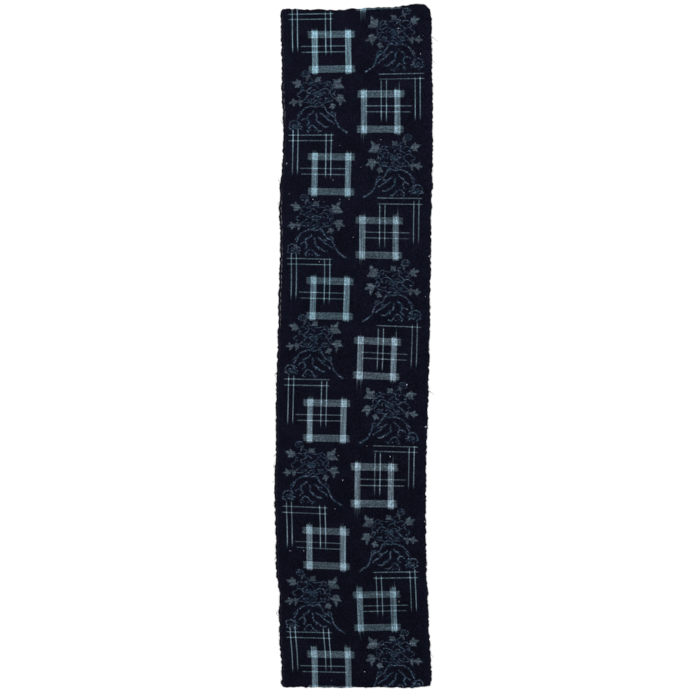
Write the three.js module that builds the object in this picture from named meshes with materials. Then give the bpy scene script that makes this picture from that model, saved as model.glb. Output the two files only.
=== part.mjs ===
// A panel of indigo picture-ikat cotton: one length of narrow-loom cloth, cut across at both ends.
// It lies face up, its width along X and its length along Y, with its upper end towards +Y.
// Units are millimetres. The surface under the cloth is z = 0, below the middle of its outline.
import * as THREE from "three";

const LENGTH = 1494;
const THICKNESS = 1.2;

const CELLS_ACROSS = 16;
const ROW_STEP = 14;
const CORNER_DEPTH = 22; // stretch at each end that gets closer rows
const CORNER_ROWS = 5;
const END_REACH = 60; // how far an uneven end pulls on the rows behind it

const COLOUR = "#10131d";
const ROUGHNESS = 0.92;

// The selvedges, from the lower end up: along is the distance from the lower end, middle the place in X
// half-way between the two selvedges, and width the distance between them.
const SECTIONS = [
  { along: 0, middle: 6.0, width: 328 },
  { along: 50, middle: 6.0, width: 326 },
  { along: 75, middle: 4.2, width: 327.5 },
  { along: 118, middle: 1.4, width: 327.5 },
  { along: 180, middle: -0.2, width: 325 },
  { along: 206, middle: 0.3, width: 324.5 },
  { along: 230, middle: -3.0, width: 326 },
  { along: 250, middle: -4.4, width: 329 },
  { along: 315, middle: -5.8, width: 327.5 },
  { along: 380, middle: -7.0, width: 330 },
  { along: 445, middle: -7.2, width: 331 },
  { along: 532, middle: -4.9, width: 329.5 },
  { along: 620, middle: -3.6, width: 333 },
  { along: 705, middle: -1.4, width: 331.5 },
  { along: 795, middle: 0.8, width: 331.5 },
  { along: 882, middle: 2.5, width: 330.5 },
  { along: 970, middle: 4.0, width: 329.5 },
  { along: 1056, middle: 4.0, width: 332.5 },
  { along: 1100, middle: 5.8, width: 332.5 },
  { along: 1125, middle: 7.4, width: 328.5 },
  { along: 1165, middle: 9.2, width: 326.5 },
  { along: 1232, middle: 9.2, width: 326 },
  { along: 1297, middle: 7.7, width: 330 },
  { along: 1362, middle: 7.2, width: 328 },
  { along: 1428, middle: 6.2, width: 329.5 },
  { along: 1494, middle: 4.4, width: 329 },
];

// The two cut ends: across runs from -1 at the left selvedge to 1 at the right one, and lower and upper
// say how far each end stays short of the cloth's full length there.
const ENDS = [
  { across: -1, lower: 1.5, upper: 11 },
  { across: -0.45, lower: 0.5, upper: 12.5 },
  { across: -0.18, lower: 0, upper: 13.5 },
  { across: 0, lower: 0.6, upper: 10.8 },
  { across: 0.3, lower: 0.9, upper: 9 },
  { across: 0.6, lower: 0.4, upper: 6.6 },
  { across: 0.76, lower: 0.2, upper: 3.8 },
  { across: 0.88, lower: 1.2, upper: 0 },
  { across: 1, lower: 3, upper: 0.5 },
];

const CORNERS = {
  lower: { left: 9, right: 8 },
  upper: { left: 10, right: 22 },
};

// Places that stand a little off the surface: the middle of each in X and Y, its half lengths and height.
const RISES = [
  { x: 136, y: 360, halfX: 42, halfY: 20, height: 1.4 },
  { x: -60, y: 640, halfX: 75, halfY: 45, height: 0.8 },
  { x: 150, y: 728, halfX: 30, halfY: 30, height: 1.6 },
  { x: 40, y: 95, halfX: 90, halfY: 50, height: 0.7 },
  { x: -70, y: -300, halfX: 80, halfY: 60, height: 0.8 },
  { x: -150, y: -545, halfX: 26, halfY: 50, height: 1.2 },
];

// The waves of both selvedges, which lift clear between the places where they touch.
const FLUTES = { height: 1.1, pitch: 94, reach: 24, leftStart: 0.4, rightStart: 2.1 };

// The slope of a column at one row: that of the line through its two neighbours.
function slopeAt(rows, key, column, index) {
  const before = rows[Math.max(index - 1, 0)];
  const after = rows[Math.min(index + 1, rows.length - 1)];
  return (after[column] - before[column]) / (after[key] - before[key]);
}

// A column's value between its rows, on a cubic curve that passes through them.
function curveThrough(rows, key, column, at) {
  const found = rows.findIndex((row) => row[key] >= at);
  const upper = found < 0 ? rows.length - 1 : Math.max(found, 1);
  const from = rows[upper - 1];
  const to = rows[upper];
  const gap = to[key] - from[key];
  const t = THREE.MathUtils.clamp((at - from[key]) / gap, 0, 1);
  const leaving = slopeAt(rows, key, column, upper - 1) * gap;
  const arriving = slopeAt(rows, key, column, upper) * gap;
  const change = to[column] - from[column];
  const bend = 3 * change - 2 * leaving - arriving;
  const twist = leaving + arriving - 2 * change;
  return from[column] + t * (leaving + t * (bend + t * twist));
}

// How far a rounded corner draws the selvedge in, at a distance from the end.
function cornerInset(radius, distance) {
  const inside = Math.max(radius - distance, 0);
  return radius - Math.sqrt(radius * radius - inside * inside);
}

// A selvedge's place in X. side is -1 for the left one and 1 for the right one.
function selvedgeAt(side, along) {
  const name = side < 0 ? "left" : "right";
  const middle = curveThrough(SECTIONS, "along", "middle", along);
  const width = curveThrough(SECTIONS, "along", "width", along);
  const inset =
    cornerInset(CORNERS.lower[name], along) +
    cornerInset(CORNERS.upper[name], LENGTH - along);
  return middle + side * (width / 2 - inset);
}

// 1 at an end of the cloth, easing to 0 behind it.
function pullOfEnd(distance) {
  return 1 - THREE.MathUtils.smoothstep(distance, 0, END_REACH);
}

function placeInY(across, along) {
  const lower = curveThrough(ENDS, "across", "lower", across) * pullOfEnd(along);
  const upper = curveThrough(ENDS, "across", "upper", across) * pullOfEnd(LENGTH - along);
  return along + lower - upper - LENGTH / 2;
}

// A smooth mound that is exactly flat outside its own ellipse.
function riseAt(rise, x, y) {
  const away = Math.hypot((x - rise.x) / rise.halfX, (y - rise.y) / rise.halfY);
  return rise.height * (1 - THREE.MathUtils.smoothstep(away, 0, 1));
}

function fluteAt(distance, along, start) {
  const wave = Math.max(Math.sin((2 * Math.PI * along) / FLUTES.pitch + start), 0);
  return FLUTES.height * wave * wave * (1 - THREE.MathUtils.smoothstep(distance, 0, FLUTES.reach));
}

function liftAt(x, y, left, right, along) {
  const mounds = RISES.map((rise) => riseAt(rise, x, y));
  const flutes = [
    fluteAt(x - left, along, FLUTES.leftStart),
    fluteAt(right - x, along, FLUTES.rightStart),
  ];
  return Math.max(...mounds, ...flutes);
}

// A point of the underside.
function spotAt(across, along) {
  const left = selvedgeAt(-1, along);
  const right = selvedgeAt(1, along);
  const x = THREE.MathUtils.lerp(left, right, (across + 1) / 2);
  const y = placeInY(across, along);
  return new THREE.Vector3(x, y, liftAt(x, y, left, right, along));
}

// The rows' distances from the lower end: close together round the corners, even between them.
function rowPlaces() {
  const corner = [];
  for (let i = 0; i < CORNER_ROWS; i += 1) corner.push(CORNER_DEPTH * (i / CORNER_ROWS) ** 2);
  const span = LENGTH - 2 * CORNER_DEPTH;
  const steps = Math.round(span / ROW_STEP);
  const even = [];
  for (let i = 0; i <= steps; i += 1) even.push(CORNER_DEPTH + (span * i) / steps);
  const farCorner = corner.map((place) => LENGTH - place).reverse();
  return [...corner, ...even, ...farCorner];
}

// The outline's middle goes to x = 0 and y = 0, and the lowest point to z = 0.
function centred(geometry) {
  geometry.computeBoundingBox();
  const box = geometry.boundingBox;
  const middle = box.getCenter(new THREE.Vector3());
  return geometry.translate(-middle.x, -middle.y, -box.min.z);
}

function clothGeometry() {
  const rows = rowPlaces();
  const cells = rows.length - 1;
  const geometry = new THREE.BoxGeometry(2, cells, 2, CELLS_ACROSS, cells, 1);
  const spots = geometry.getAttribute("position");
  for (let i = 0; i < spots.count; i += 1) {
    const row = Math.round(spots.getY(i) + cells / 2);
    const spot = spotAt(spots.getX(i), rows[row]);
    const height = spots.getZ(i) > 0 ? THICKNESS : 0;
    spots.setXYZ(i, spot.x, spot.y, spot.z + height);
  }
  geometry.computeVertexNormals();
  return centred(geometry);
}

const cotton = new THREE.MeshStandardMaterial({
  color: COLOUR,
  roughness: ROUGHNESS,
  metalness: 0,
});

const cloth = new THREE.Mesh(clothGeometry(), cotton);
cloth.name = "cloth";

const group = new THREE.Group();
group.add(cloth);

export default group;
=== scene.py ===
import math

import bpy
import numpy as np
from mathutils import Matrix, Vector


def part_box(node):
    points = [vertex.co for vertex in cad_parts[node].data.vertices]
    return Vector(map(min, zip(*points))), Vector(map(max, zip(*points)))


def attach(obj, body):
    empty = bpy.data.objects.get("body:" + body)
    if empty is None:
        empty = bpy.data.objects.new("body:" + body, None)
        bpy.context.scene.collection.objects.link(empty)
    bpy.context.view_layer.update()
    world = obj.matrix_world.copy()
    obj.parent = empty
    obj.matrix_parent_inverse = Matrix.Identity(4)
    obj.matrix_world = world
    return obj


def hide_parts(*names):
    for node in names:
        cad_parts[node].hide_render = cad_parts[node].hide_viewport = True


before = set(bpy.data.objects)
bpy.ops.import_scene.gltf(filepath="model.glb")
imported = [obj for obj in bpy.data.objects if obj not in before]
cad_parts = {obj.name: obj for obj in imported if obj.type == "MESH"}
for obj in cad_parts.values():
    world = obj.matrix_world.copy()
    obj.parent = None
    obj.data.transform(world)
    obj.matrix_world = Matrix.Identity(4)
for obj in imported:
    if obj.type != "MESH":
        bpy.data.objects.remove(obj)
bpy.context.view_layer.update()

# Lengths in this script are millimetres, and MM turns them into Blender's metres. The flat size, the depth
# of the ribs, the floor, the lamps and the camera's height are given in metres.
MM = 0.001

# The cloth as it lies: its full length, its thickness, and a slightly thicker rim all round.
LENGTH = 1494.0
THICKNESS = 0.7
RIM = {"extra": 0.5, "width": 3.2, "roundness": 0.45}
END_REACH = 60.0

# The selvedges, from the lower end up: the distance from the lower end, the place in X half-way between
# the two selvedges, and the distance between them.
SECTIONS = [
    # along, middle, width
    (0, 6.0, 328),
    (50, 6.0, 326),
    (75, 4.2, 327.5),
    (118, 1.4, 327.5),
    (180, -0.2, 325),
    (206, 0.3, 324.5),
    (230, -3.0, 326),
    (250, -4.4, 329),
    (315, -5.8, 327.5),
    (380, -7.0, 330),
    (445, -7.2, 331),
    (532, -4.9, 329.5),
    (620, -3.6, 333),
    (705, -1.4, 331.5),
    (795, 0.8, 331.5),
    (882, 2.5, 330.5),
    (970, 4.0, 329.5),
    (1056, 4.0, 332.5),
    (1100, 5.8, 332.5),
    (1125, 7.4, 328.5),
    (1165, 9.2, 326.5),
    (1232, 9.2, 326),
    (1297, 7.7, 330),
    (1362, 7.2, 328),
    (1428, 6.2, 329.5),
    (1494, 4.4, 329),
]

# How far each cut end stays short of the full length, from the left selvedge, -1, to the right one, 1.
ENDS = [
    # across, lower, upper
    (-1, 1.5, 11),
    (-0.45, 0.5, 12.5),
    (-0.18, 0, 13.5),
    (0, 0.6, 10.8),
    (0.3, 0.9, 9),
    (0.6, 0.4, 6.6),
    (0.76, 0.2, 3.8),
    (0.88, 1.2, 0),
    (1, 3, 0.5),
]

CORNERS = {
    "lower": {-1: 9.0, 1: 8.0},
    "upper": {-1: 10.0, 1: 22.0},
}

# Places that stand a little off the surface.
RISES = [
    # x, y, half x, half y, height
    (136, 360, 42, 20, 1.4),
    (-60, 640, 75, 45, 0.8),
    (150, 728, 30, 30, 1.6),
    (40, 95, 90, 50, 0.7),
    (-70, -300, 80, 60, 0.8),
    (-150, -545, 26, 50, 1.2),
]

# The waves of both selvedges.
FLUTES = {"height": 1.1, "pitch": 94.0, "reach": 24.0, "start": {-1: 0.4, 1: 2.1}}

# One crease. It fades in from before its start to a little inside it, and out past its end.
CREASE = {
    "from": (104.0, 366.0), "to": (170.0, 354.0), "half_width": 5.0, "height": 0.5,
    "before": 12, "inside": 8, "past": 20,
}

# Fine puckers all over, where two slanting waves cross: the slant, the step and the seed of each.
PUCKERS = {"height": 0.12, "level": (0.6, 17, 5), "upright": (-0.4, 23, 6)}

# The mesh: the even steps between its rows and its columns, and their closer places beside the edges.
MEAN_WIDTH = 330.0
ROW_STEP = 2.4
COLUMN_STEP = 6.0
END_ROWS = [0.0, 0.18, 0.5, 1.1, 2.0, 3.2, 5.0]
SELVEDGE_COLUMNS = [0.0, 0.18, 0.5, 1.1, 2.0, 3.2, 4.8, 7.2]

# The small scallops of the four edges: how far each kind is drawn in and out, and how often.
SCALLOPS = [
    # size, step, seed
    (1.3, 4.4, 11),
    (0.8, 10.5, 23),
]
SCALLOP_REACH = 11.0

# Noise along a line has this many random heights, and its zero is this many steps into them.
NOISE_HEIGHTS = 4000
NOISE_START = 50


# Curves and noise

def curve_through(rows, column, at):
    """A column's value between its rows, on a cubic curve that passes through them."""
    table = np.array(rows, float)
    keys, values = table[:, 0], table[:, column]
    slopes = np.gradient(values, keys)
    slopes[1:-1] = (values[2:] - values[:-2]) / (keys[2:] - keys[:-2])
    upper = np.clip(np.searchsorted(keys, at), 1, len(keys) - 1)
    gap = keys[upper] - keys[upper - 1]
    t = np.clip((at - keys[upper - 1]) / gap, 0, 1)
    leaving, arriving = slopes[upper - 1] * gap, slopes[upper] * gap
    change = values[upper] - values[upper - 1]
    bend = 3 * change - 2 * leaving - arriving
    twist = leaving + arriving - 2 * change
    return values[upper - 1] + t * (leaving + t * (bend + t * twist))


def smooth(value, low, high):
    """0 below low, 1 above high, and an even ease between them."""
    t = np.clip((value - low) / (high - low), 0, 1)
    return t * t * (3 - 2 * t)


def wander(at, step, seed):
    """Smooth noise from -1 to 1 along a line, with one random height for each step."""
    heights = np.random.default_rng(seed).uniform(-1, 1, NOISE_HEIGHTS)
    place = at / step + NOISE_START
    cell = np.floor(place).astype(int)
    t = smooth(place - cell, 0, 1)
    return heights[cell] * (1 - t) + heights[cell + 1] * t


# The cloth's outline and height

def corner_inset(radius, distance):
    """How far a rounded corner draws the selvedge in, at a distance from the cut end."""
    inside = np.maximum(radius - distance, 0)
    return radius - np.sqrt(radius * radius - inside * inside)


def selvedge_at(side, along):
    """A selvedge's place in X before the outline is centred. side is -1 on the left, 1 on the right."""
    middle = curve_through(SECTIONS, 1, along)
    width = curve_through(SECTIONS, 2, along)
    inset = corner_inset(CORNERS["lower"][side], along)
    inset = inset + corner_inset(CORNERS["upper"][side], LENGTH - along)
    return middle + side * (width / 2 - inset)


def place_in_y(across, along):
    lower = curve_through(ENDS, 1, across) * (1 - smooth(along, 0, END_REACH))
    upper = curve_through(ENDS, 2, across) * (1 - smooth(LENGTH - along, 0, END_REACH))
    return along + lower - upper - LENGTH / 2


def rise_height(x, y):
    height = np.zeros_like(x)
    for middle_x, middle_y, half_x, half_y, top in RISES:
        away = np.hypot((x - middle_x) / half_x, (y - middle_y) / half_y)
        height = np.maximum(height, top * (1 - smooth(away, 0, 1)))
    return height


def flute_height(distance, along, start):
    wave = np.maximum(np.sin(2 * math.pi * along / FLUTES["pitch"] + start), 0)
    return FLUTES["height"] * wave * wave * (1 - smooth(distance, 0, FLUTES["reach"]))


def crease_height(x, y):
    """A narrow soft ridge along one line."""
    start, end = np.array(CREASE["from"]), np.array(CREASE["to"])
    length = np.linalg.norm(end - start)
    direction = (end - start) / length
    run = (x - start[0]) * direction[0] + (y - start[1]) * direction[1]
    off = (y - start[1]) * direction[0] - (x - start[0]) * direction[1]
    ends = smooth(run, -CREASE["before"], CREASE["inside"])
    ends = ends * (1 - smooth(run, length, length + CREASE["past"]))
    return CREASE["height"] * ends * (1 - smooth(np.abs(off), 0, CREASE["half_width"]))


def pucker_height(x, along):
    slant, step, seed = PUCKERS["level"]
    waves = 1 + wander(along + slant * x, step, seed)
    slant, step, seed = PUCKERS["upright"]
    return PUCKERS["height"] * waves * (1 + wander(x + slant * along, step, seed)) / 2


def lift_at(x, y, left, right, along):
    """How far the underside stands off the surface."""
    lift = rise_height(x, y)
    lift = np.maximum(lift, flute_height(x - left, along, FLUTES["start"][-1]))
    lift = np.maximum(lift, flute_height(right - x, along, FLUTES["start"][1]))
    return lift + pucker_height(x, along) + crease_height(x, y)


# The pattern's places in the weave
# Each open square is at a known distance up the cloth, and the wefts lean there by a small slope.

# The line that both columns of squares are measured from, which wanders a little from the outline's middle.
PATTERN_LINE = [
    # along, x
    (0, 5.5),
    (40, 5.2),
    (76, 3.7),
    (125, -0.3),
    (205, -3.6),
    (268, -6.4),
    (343, -6.9),
    (408, -8.6),
    (484, -7.9),
    (545, -6.7),
    (621, -5),
    (683, -3.5),
    (759, -0.9),
    (811, 0),
    (887, 2.2),
    (946, 2.1),
    (1022, 2.6),
    (1084, 3.7),
    (1159, 5.1),
    (1222, 5.9),
    (1298, 5.9),
    (1353, 5.7),
    (1429, 4.5),
    (1494, 4),
]

# One repeat, from a square's upper edge down: the square, its topmost level line above it, and the flower's
# middle. The square's own middle is this far out from the pattern's line.
PERIOD = 270.5
SQUARE_HEIGHT = 91.8
SQUARE_MIDDLE = 53.5
UPPER_LINE = -41.5
FLOWER_MIDDLE = 143.0

# The pattern keeps its scale this far above the level lines, below the squares, and round the flowers.
LINES_REACH = 20
SQUARE_REACH = 25
FLOWER_REACH = 92

# The flower's drawing: its middle's distance out and its drop, how much it is narrowed, and its lean.
FLOWER_OUT = 86.9
FLOWER_DROP = 2.6
FLOWER_STRETCH = 1.038
FLOWER_LEAN = 0.022

# The squares of the left column and of the right one, from the upper end down. top is how far up the cloth
# the square's upper edge is. line and flower say how far its level lines above it and the flower below it
# are moved up, and inner and outer how far its two pairs of thin upright lines are moved down. lean and
# sway are the slopes of the wefts at the square and at the flower, positive where they fall to the right.
# warp and weft say how pale the undyed yarns are, and blue how blue. pair is 0 where the topmost level line
# is missing. rise says how far the square's sides go on above it, and is 0 where the outer side is missing.
SQUARES = {
    -1: [
        # top, height, line, flower, lean, sway, inner, outer, warp, weft, blue, pair, rise
        (1435, 91, -4, 6.3, -0.014, -0.02, -1, 0, 1.14, 1.17, 1, 1, 1.5),
        (1167.5, 91.5, -1.5, 1.7, 0.015, 0.02, 0, 3, 1.02, 1.0, 0.6, 1, 1),
        (896, 91.5, -1.5, 10.5, 0.027, 0.02, 4, 4, 0.92, 0.95, 0.9, 1, 2.5),
        (629.5, 92, 2, 0.2, 0.018, 0.03, 7.5, 8.5, 0.96, 1.07, 0.1, 1, 1.5),
        (349.5, 90.5, 2, -0.5, 0.051, 0.03, -5, 0, 1.08, 0.9, 0.2, 1, 4.5),
        (80.5, 92, -2, 0, 0.021, 0.02, -7, 1, 0.9, 1.04, 0.4, 1, 9.5),
    ],
    1: [
        (1573, 91, 0, 1.5, -0.07, -0.04, 0, 0, 0.9, 1.0, 0.8, 1, 0),
        (1305, 92.5, -6, -3.8, 0.002, 0, -3, 1, 0.97, 1.08, 0.6, 1, 2),
        (1028, 90.5, 0.5, 1.2, 0.023, 0.03, -3.5, -6, 0.93, 0.93, 0.3, 1, 3),
        (764.5, 91, -3, -2.3, 0.05, 0.045, 2, -2, 0.98, 1.08, 0, 0, 1.5),
        (490, 96, -3, -6.4, 0.017, 0, -3.5, -11, 1.0, 1.08, 0, 1, 1),
        (210.5, 86, 0, 8, -0.021, 0, -13, -14, 0.8, 0.92, 0.7, 1, 9),
        (-61, 92, 0, 0, -0.02, 0, 0, 0, 0.9, 0.95, 0.5, 1, 9),
    ],
}
COLUMNS = {
    "lean": 4, "sway": 5, "inner": 6, "outer": 7, "warp": 8, "weft": 9, "blue": 10, "pair": 11, "rise": 12,
}


def square_column(side, number):
    return np.array([row[number] for row in SQUARES[side]], float)


def between_squares(side, number, along):
    """A column of the table, spread evenly between the middles of the squares."""
    middles = square_column(side, 0) - SQUARE_HEIGHT / 2
    return np.interp(along, middles[::-1], square_column(side, number)[::-1])


def level_at(side, across, along):
    """The height up the cloth at which each point's weft crosses the middle of the squares."""
    middles = square_column(side, 0) - SQUARE_HEIGHT / 2
    flowers = square_column(side, 0) - FLOWER_MIDDLE
    known = np.stack([middles, flowers], 1).ravel()
    leans, sways = square_column(side, COLUMNS["lean"]), square_column(side, COLUMNS["sway"])
    slopes = np.stack([leans, sways], 1).ravel()
    slope = np.interp(along, known[::-1], slopes[::-1])
    return along + slope * (across - side * SQUARE_MIDDLE)


def places_between(level, known, places):
    """Places down the endless repeat, from the known levels, with their own scale past both ends."""
    known, places = np.array(known), np.array(places)
    inside = np.interp(level, known[::-1], places[::-1])
    below = places[-1] + known[-1] - level
    above = places[0] + known[0] - level
    return np.where(level < known[-1], below, np.where(level > known[0], above, inside))


def square_places(side, level):
    """Where each point lies down the repeat by the squares and their lines, which keep their scale."""
    known, places = [], []
    for number, (top, height, line, *_) in enumerate(SQUARES[side]):
        base = number * PERIOD
        upper = top - UPPER_LINE + line
        lower = base + SQUARE_HEIGHT
        known += [upper + LINES_REACH, upper, top, top - height, top - height - SQUARE_REACH]
        places += [base + UPPER_LINE - LINES_REACH, base + UPPER_LINE, base, lower, lower + SQUARE_REACH]
    return places_between(level, known, places)


def flower_places(side, level):
    """Where each point lies down the repeat by the flowers, which keep their scale."""
    known, places = [], []
    for number, (top, _, _, flower, *_) in enumerate(SQUARES[side]):
        middle = top - FLOWER_MIDDLE + flower
        place = number * PERIOD + FLOWER_MIDDLE
        known += [middle + FLOWER_REACH, middle - FLOWER_REACH]
        places += [place - FLOWER_REACH, place + FLOWER_REACH]
    return places_between(level, known, places)


# The cloth's mesh

def spread_out(near, full, step):
    """Places from 0 to full: the near ones in from both ends, and even steps between them."""
    near = np.array(near)
    steps = round((full - 2 * near[-1]) / step)
    inner = np.linspace(near[-1], full - near[-1], steps + 1)
    return np.concatenate([near[:-1], inner, (full - near[:-1])[::-1]])


def column_places():
    """Places across the cloth, from the left selvedge, -1, to the right one, 1."""
    return spread_out(SELVEDGE_COLUMNS, MEAN_WIDTH, COLUMN_STEP) / MEAN_WIDTH * 2 - 1


def row_places():
    """Distances from the lower end."""
    return spread_out(END_ROWS, LENGTH, ROW_STEP)


def scalloped(x, y, left, right, along):
    """Moves the points near an edge in and out with the scallops."""
    near_left = 1 - smooth(x - left, 0, SCALLOP_REACH)
    near_right = 1 - smooth(right - x, 0, SCALLOP_REACH)
    near_lower = 1 - smooth(along, 0, SCALLOP_REACH)
    near_upper = 1 - smooth(LENGTH - along, 0, SCALLOP_REACH)
    move_x, move_y = 0, 0
    for size, step, seed in SCALLOPS:
        move_x = move_x + size * near_left * wander(along, step, seed)
        move_x = move_x + size * near_right * wander(along, step, seed + 1)
        move_y = move_y + size * near_lower * wander(x, step, seed + 2)
        move_y = move_y + size * near_upper * wander(x, step, seed + 3)
    return x + move_x, y + move_y


def cloth_points():
    """Every point of the cloth's middle surface, as arrays of rows by columns."""
    across, along = np.meshgrid(column_places(), row_places())
    left, right = selvedge_at(-1, along), selvedge_at(1, along)
    x = left + (right - left) * (across + 1) / 2
    y = place_in_y(across, along)
    up = y + LENGTH / 2
    u = x - curve_through(PATTERN_LINE, 1, up)
    side = np.where(u < 0, -1, 1)
    spread = {
        name: np.where(side < 0, between_squares(-1, number, up), between_squares(1, number, up))
        for name, number in COLUMNS.items()
    }
    edge = np.minimum(np.minimum(x - left, right - x), np.minimum(along, LENGTH - along))
    rim = RIM["extra"] * (1 - smooth(edge, 0, RIM["width"]))
    roundness = np.clip(edge / RIM["roundness"], 0, 1)
    half = (rim + THICKNESS) / 2 * np.sqrt(1 - (1 - roundness) ** 2)
    lift = lift_at(x, y, left, right, along) + THICKNESS / 2 + rim / 2
    moved_x, moved_y = scalloped(x, y, left, right, along)
    left_level, right_level = level_at(-1, u, up), level_at(1, u, up)
    return {
        "x": moved_x,
        "y": moved_y,
        "z": lift,
        "half": half,
        "u": u,
        "left_square": square_places(-1, left_level),
        "right_square": square_places(1, right_level),
        "left_flower": flower_places(-1, left_level),
        "right_flower": flower_places(1, right_level),
        "edge": edge,
        "along": up,
        "selvedge": np.minimum(x - left, right - x) * side,
        **spread,
    }


def centre_shift(points):
    """What brings the outline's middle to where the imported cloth's middle is."""
    low, high = (np.array(corner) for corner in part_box("cloth"))
    target = (low + high)[:2] / 2 / MM
    own = [(points[axis].min() + points[axis].max()) / 2 for axis in ("x", "y")]
    return target - own


def smooth_mesh(name, vertices, faces):
    mesh = bpy.data.meshes.new(name)
    mesh.from_pydata(vertices, [], faces)
    mesh.polygons.foreach_set("use_smooth", np.ones(len(mesh.polygons), bool))
    return mesh


def cell_corners(number):
    """The vertex numbers at the four corners of each cell, in turn round it."""
    grids = (number[:-1, :-1], number[:-1, 1:], number[1:, 1:], number[1:, :-1])
    return [grid.ravel() for grid in grids]


def cloth_mesh(points):
    """A closed sheet: an upper and a lower layer that share the vertices of the rim."""
    rows, columns = points["x"].shape
    shift = centre_shift(points)
    x = (points["x"] + shift[0]) * MM
    y = (points["y"] + shift[1]) * MM
    top = np.dstack([x, y, (points["z"] + points["half"]) * MM]).reshape(-1, 3)
    under = np.dstack([x, y, (points["z"] - points["half"]) * MM]).reshape(-1, 3)
    number = np.arange(rows * columns).reshape(rows, columns)
    inner = np.zeros((rows, columns), bool)
    inner[1:-1, 1:-1] = True
    lower_number = number.copy()
    lower_number[inner] = rows * columns + np.arange(inner.sum())
    vertices = np.concatenate([top, under[inner.ravel()]])
    upper_faces = np.stack(cell_corners(number), 1)
    a, b, c, d = cell_corners(lower_number)
    lower_faces = np.stack([a, d, c, b], 1)
    faces = np.concatenate([upper_faces, lower_faces])
    mesh = smooth_mesh("cloth_sheet", vertices.tolist(), faces.tolist())
    add_places(mesh, points, inner)
    add_map(mesh, rows, columns)
    mesh.update()
    return mesh


def add_places(mesh, points, inner):
    """Stores the weave's own coordinates on the vertices, in millimetres."""
    groups = {
        "weave": ("u", "left_square", "right_square"),
        "edges": ("edge", "along", "selvedge"),
        "yarns": ("warp", "weft", "blue"),
        "flowers": ("left_flower", "right_flower", "inner"),
        "lines": ("outer", "pair", "rise"),
    }
    for name, keys in groups.items():
        grid = np.dstack([points[key] for key in keys]).reshape(-1, 3)
        values = np.concatenate([grid, grid[inner.ravel()]]).astype(np.float32)
        layer = mesh.attributes.new(name, "FLOAT_VECTOR", "POINT")
        layer.data.foreach_set("vector", values.ravel())


# The texture map lays the upper layer out as four pieces, two by two, and the lower one small beside them.
MAP = {
    "piece_width": 0.41, "piece_length": 0.492, "fill": 0.985, "gap": 0.006,
    "back_width": 0.15, "back_length": 0.66,
}


def add_map(mesh, rows, columns):
    """Adds the texture map, one corner of all the faces at a time."""
    row_cells = rows - 1
    cuts = [round(row_cells * share) for share in (0, 0.25, 0.5, 0.75, 1)]
    upper = np.zeros((row_cells, columns - 1, 4, 2))
    lower = np.zeros((row_cells, columns - 1, 4, 2))
    along = row_places() / LENGTH
    shares = (column_places() + 1) / 2
    corners = [(0, 0), (0, 1), (1, 1), (1, 0)]
    for number in range(4):
        first, last = cuts[number], cuts[number + 1]
        start = along[first]
        scale = MAP["piece_length"] * 4
        for corner, (down, over) in enumerate(corners):
            u = MAP["gap"] + (number % 2) * (MAP["piece_width"] + MAP["gap"])
            v = MAP["gap"] + (number // 2) * (MAP["piece_length"] + MAP["gap"])
            place = (along[first + down:last + down] - start) * scale * MAP["fill"]
            spread = shares[over:columns - 1 + over] * MAP["piece_width"]
            upper[first:last, :, corner, 0] = u + spread[None, :]
            upper[first:last, :, corner, 1] = (v + place)[:, None]
    order = [(0, 0), (1, 0), (1, 1), (0, 1)]
    for corner, (down, over) in enumerate(order):
        u = 1 - MAP["gap"] - MAP["back_width"]
        place = MAP["gap"] + along[down:row_cells + down] * MAP["back_length"]
        lower[:, :, corner, 0] = u + shares[over:columns - 1 + over][None, :] * MAP["back_width"]
        lower[:, :, corner, 1] = place[:, None]
    layer = mesh.uv_layers.new(name="OFBake")
    values = np.concatenate([upper.reshape(-1, 2), lower.reshape(-1, 2)]).astype(np.float32)
    layer.data.foreach_set("uv", values.ravel())


# Node graphs as arithmetic

class Wire:
    """One value of a node graph. Arithmetic on it adds the nodes that work it out."""

    def __init__(self, tree, socket):
        self.tree = tree
        self.socket = socket

    def __add__(self, other):
        return maths("ADD", self, other)

    def __radd__(self, other):
        return maths("ADD", other, self)

    def __sub__(self, other):
        return maths("SUBTRACT", self, other)

    def __rsub__(self, other):
        return maths("SUBTRACT", other, self)

    def __mul__(self, other):
        return maths("MULTIPLY", self, other)

    def __rmul__(self, other):
        return maths("MULTIPLY", other, self)

    def __truediv__(self, other):
        return maths("DIVIDE", self, other)


def feed(tree, socket, value):
    """Gives a socket a wire or a plain value."""
    if isinstance(value, Wire):
        tree.links.new(value.socket, socket)
    else:
        socket.default_value = value


def made_by(kind, settings, feeds, output=0):
    """Adds one node of a kind, sets it, feeds its inputs and returns one of its outputs."""
    tree = next(value.tree for value in feeds.values() if isinstance(value, Wire))
    node = tree.nodes.new(kind)
    for name, value in settings.items():
        setattr(node, name, value)
    for key, value in feeds.items():
        feed(tree, node.inputs[key], value)
    return Wire(tree, node.outputs[output])


def maths(operation, *values):
    return made_by("ShaderNodeMath", {"operation": operation}, dict(enumerate(values)))


def absolute(value):
    return maths("ABSOLUTE", value)


def larger(first, second):
    return maths("MAXIMUM", first, second)


def smaller(first, second):
    return maths("MINIMUM", first, second)


def joined(join, wires):
    """Joins wires as they come, each to what the ones before it made, which keeps the shader's stack low."""
    wires = iter(wires)
    found = next(wires)
    for wire in wires:
        found = join(found, wire)
    return found


def palest(tones):
    return joined(larger, tones)


def nearest(fields):
    return joined(smaller, fields)


def times_plus(value, factor, term):
    return maths("MULTIPLY_ADD", value, factor, term)


def ease(value, low, high, at_low=0.0, at_high=1.0):
    """at_low below low, at_high above high, and a smooth change between them."""
    settings = {"interpolation_type": "SMOOTHSTEP", "clamp": True}
    feeds = {0: value, 1: low, 2: high, 3: at_low, 4: at_high}
    return made_by("ShaderNodeMapRange", settings, feeds)


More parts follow.
